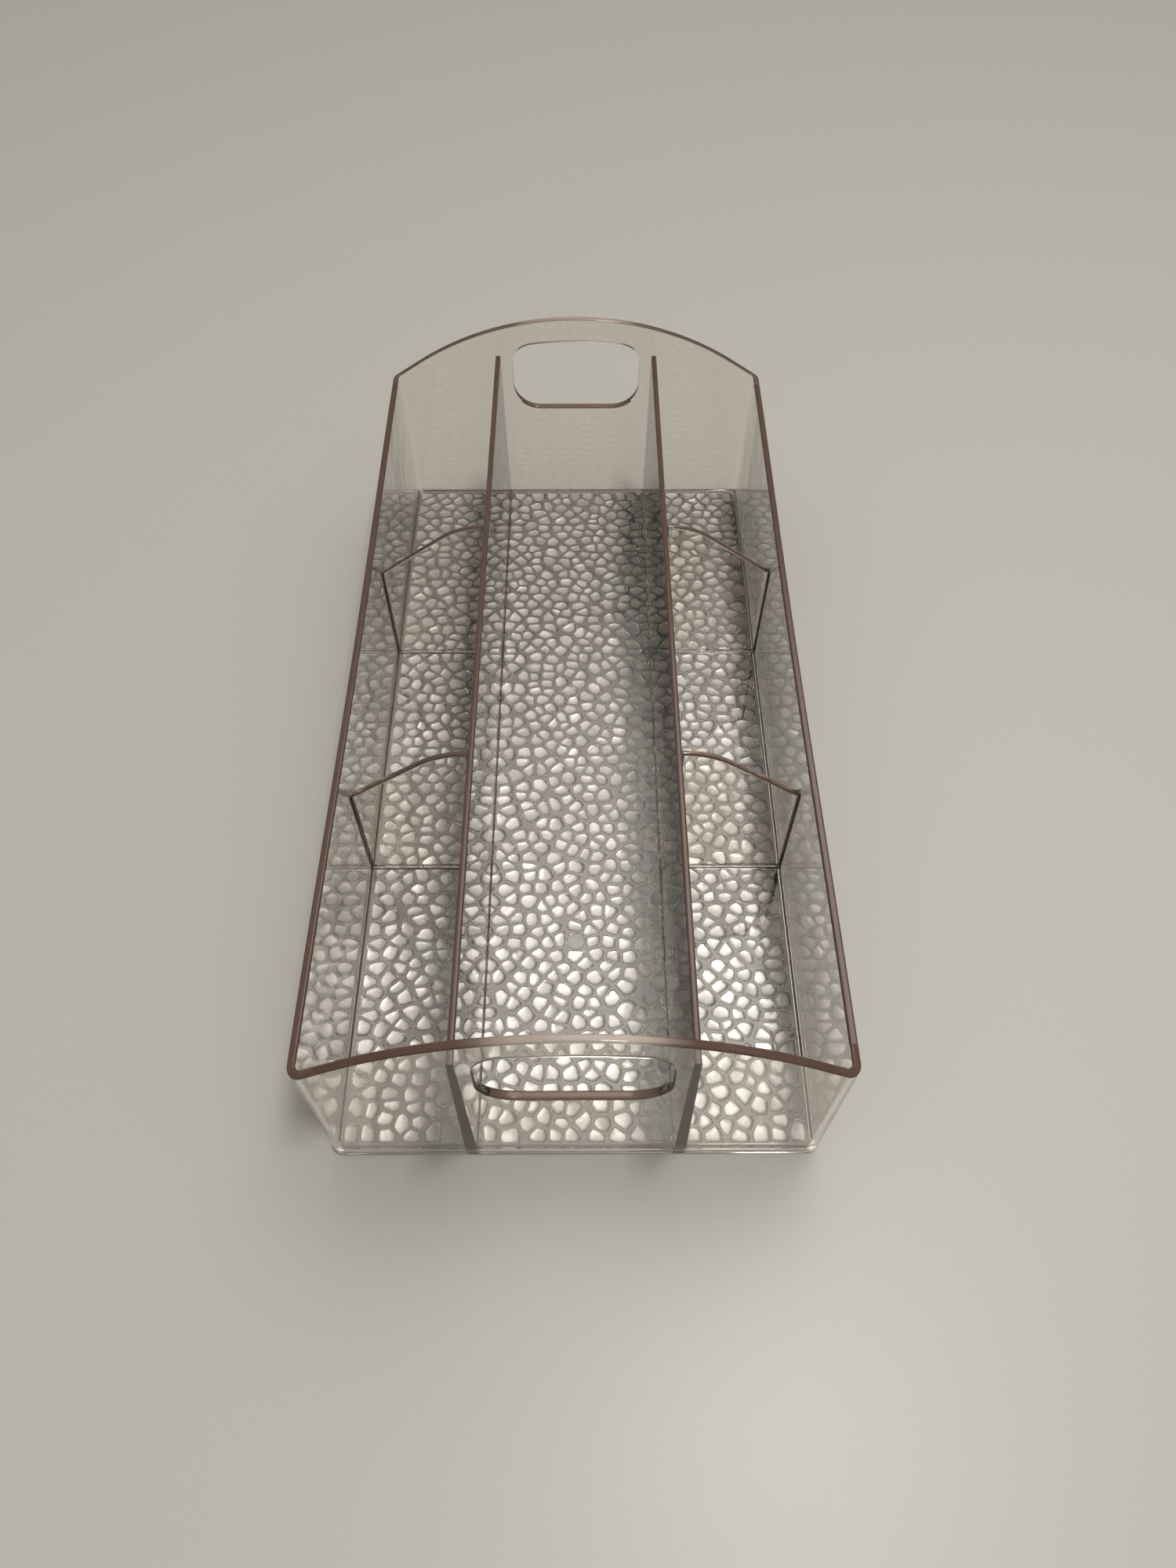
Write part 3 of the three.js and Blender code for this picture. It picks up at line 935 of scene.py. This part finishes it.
def desk_surface():
    """The plain pale floor the organizer stands on, with a faint satin grain."""
    bpy.ops.mesh.primitive_plane_add(size=DESK_SIZE, location=DESK_PLACE)
    desk = bpy.context.object
    desk.name = "studio_floor"
    material = bpy.data.materials.new("pale_floor")
    material.use_nodes = True
    nodes = material.node_tree.nodes
    links = material.node_tree.links
    shader = nodes["Principled BSDF"]
    shader.inputs["Roughness"].default_value = 0.38
    place = nodes.new("ShaderNodeTexCoord")
    grain = nodes.new("ShaderNodeTexNoise")
    grain.inputs["Scale"].default_value = 900
    grain.inputs["Detail"].default_value = 3
    links.new(place.outputs["Object"], grain.inputs["Vector"])
    tone = nodes.new("ShaderNodeMix")
    tone.data_type = "RGBA"
    tone.inputs["A"].default_value = (*DESK_DARK, 1)
    tone.inputs["B"].default_value = (*DESK_LIGHT, 1)
    links.new(grain.outputs["Fac"], tone.inputs["Factor"])
    links.new(tone.outputs["Result"], shader.inputs["Base Color"])
    desk.data.materials.append(material)


def key_light():
    """A soft lamp that looks straight down, its width along X and its length along Y."""
    data = bpy.data.lights.new("key", "AREA")
    data.shape = "RECTANGLE"
    data.size = KEY_WIDTH
    data.size_y = KEY_LENGTH
    data.energy = KEY_POWER
    data.color = KEY_COLOR
    lamp = bpy.data.objects.new("key", data)
    bpy.context.scene.collection.objects.link(lamp)
    lamp.location = KEY_PLACE


def studio_sky():
    """A soft sky, brighter overhead, with one broad patch of glare."""
    world = bpy.data.worlds.new("studio")
    world.use_nodes = True
    nodes = world.node_tree.nodes
    links = world.node_tree.links
    background = nodes["Background"]
    background.inputs["Color"].default_value = (*SKY_COLOR, 1)
    place = nodes.new("ShaderNodeTexCoord")
    facing = nodes.new("ShaderNodeVectorMath")
    facing.operation = "DOT_PRODUCT"
    facing.inputs[1].default_value = Vector(SKY_GLOW_TOWARDS).normalized()
    links.new(place.outputs["Generated"], facing.inputs[0])
    glow = nodes.new("ShaderNodeMapRange")
    glow.interpolation_type = "SMOOTHSTEP"
    glow.inputs["From Min"].default_value = SKY_GLOW_EDGE
    glow.inputs["From Max"].default_value = 1.0
    glow.inputs["To Min"].default_value = SKY_DIM
    glow.inputs["To Max"].default_value = SKY_BRIGHT
    links.new(facing.outputs["Value"], glow.inputs["Value"])
    toward_glare = nodes.new("ShaderNodeVectorMath")
    toward_glare.operation = "DOT_PRODUCT"
    toward_glare.inputs[1].default_value = Vector(GLARE_TOWARDS).normalized()
    links.new(place.outputs["Generated"], toward_glare.inputs[0])
    glare = nodes.new("ShaderNodeMapRange")
    glare.interpolation_type = "SMOOTHSTEP"
    glare.inputs["From Min"].default_value = math.cos(GLARE_OUTER)
    glare.inputs["From Max"].default_value = math.cos(GLARE_INNER)
    glare.inputs["To Min"].default_value = 0.0
    glare.inputs["To Max"].default_value = GLARE_STRENGTH
    links.new(toward_glare.outputs["Value"], glare.inputs["Value"])
    total = nodes.new("ShaderNodeMath")
    links.new(glow.outputs["Result"], total.inputs[0])
    links.new(glare.outputs["Result"], total.inputs[1])
    links.new(total.outputs["Value"], background.inputs["Strength"])
    bpy.context.scene.world = world


def camera():
    """The photograph's viewpoint: close to the front end, looking steeply down along the organizer."""
    data = bpy.data.cameras.new("photo_view")
    data.sensor_width = CAMERA_SENSOR_MM
    data.lens = CAMERA_LENS_MM
    data.clip_start = CAMERA_CLIP_START
    view = bpy.data.objects.new("photo_view", data)
    bpy.context.scene.collection.objects.link(view)
    turn = Matrix.Rotation(-CAMERA_YAW, 4, "Z") @ Matrix.Rotation(0.5 * math.pi - CAMERA_PITCH, 4, "X")
    view.matrix_world = Matrix.Translation(CAMERA_PLACE) @ turn @ Matrix.Rotation(CAMERA_ROLL, 4, "Z")
    bpy.context.scene.camera = view


wall_plastic = clear_plastic("wall_plastic", TINT, ripple=0.00004, gloss=(0.012, 0.05))
divider_plastic = clear_plastic("divider_plastic", TINT, ripple=0.00004, gloss=(0.015, 0.06))
floor_plastic = clear_plastic("floor_plastic", TINT, ripple=0.00003, gloss=(0.02, 0.07))
pebble_plastic = clear_plastic(
    "pebble_plastic",
    TINT,
    ripple=0.00005,
    gloss=(0.36, 0.44),
    silver=0.27,
    ripple_scale=260,
    tone_scale=1300,
    tone_low=0.72,
)
# painted shade: the flank and groove tints draw dark outlines and crescents round the pebbles
flank_painted_shade_plastic = clear_plastic("flank_painted_shade_plastic", FLANK_PAINTED_SHADE, ripple=0.00003, gloss=(0.02, 0.06))
groove_painted_shade_plastic = clear_plastic("groove_painted_shade_plastic", GROOVE_PAINTED_SHADE, ripple=0.00003, gloss=(0.03, 0.06))
# the web's darker tint is painted shade between the pebbles
web_painted_shade_plastic = clear_plastic("web_painted_shade_plastic", WEB_PAINTED_SHADE, ripple=0.00002, gloss=(0.015, 0.03))
# painted shade: the edge materials' browns stand in for light seen through a long run of plastic below rims,
# lips, seams and divider ends
rim_plastic = edge_plastic("rim_plastic", RIM_BROWN, clear_share=0.45)
rear_rim_plastic = edge_plastic("rear_rim_plastic", REAR_RIM_BROWN, clear_share=0.65)
lip_plastic = edge_plastic("lip_plastic", SEAM_PAINTED_SHADE, clear_share=0.5, pale=CROSS_RIM_BROWN)
divider_end_painted_shade_plastic = edge_plastic("divider_end_painted_shade_plastic", DIVIDER_END_PAINTED_SHADE, clear_share=0.1)
seam_plastic = edge_plastic("seam_plastic", SEAM_PAINTED_SHADE, clear_share=0.4)
cross_rim_plastic = edge_plastic("cross_rim_plastic", CROSS_RIM_BROWN, clear_share=0.6)

foot_ring(floor_plastic)
floor_panel(floor_plastic, pebble_plastic, flank_painted_shade_plastic, groove_painted_shade_plastic, web_painted_shade_plastic)
end_wall(-1, wall_plastic, rim_plastic, lip_plastic)
end_wall(1, wall_plastic, rear_rim_plastic, lip_plastic)
for side in (-1, 1):
    side_wall(side, wall_plastic, rim_plastic)
    long_divider(side, divider_plastic, rim_plastic, divider_end_painted_shade_plastic)
    for end in (-1, 1):
        cross_divider(side, end, divider_plastic, cross_rim_plastic, seam_plastic)

desk_surface()
studio_sky()
key_light()
camera()

scene = bpy.context.scene
scene.view_settings.view_transform = "Standard"
scene.cycles.use_denoising = True
scene.cycles.max_bounces = 28
scene.cycles.transmission_bounces = 28
scene.cycles.glossy_bounces = 12
scene.cycles.diffuse_bounces = 3
scene.cycles.caustics_refractive = False
scene.cycles.caustics_reflective = False
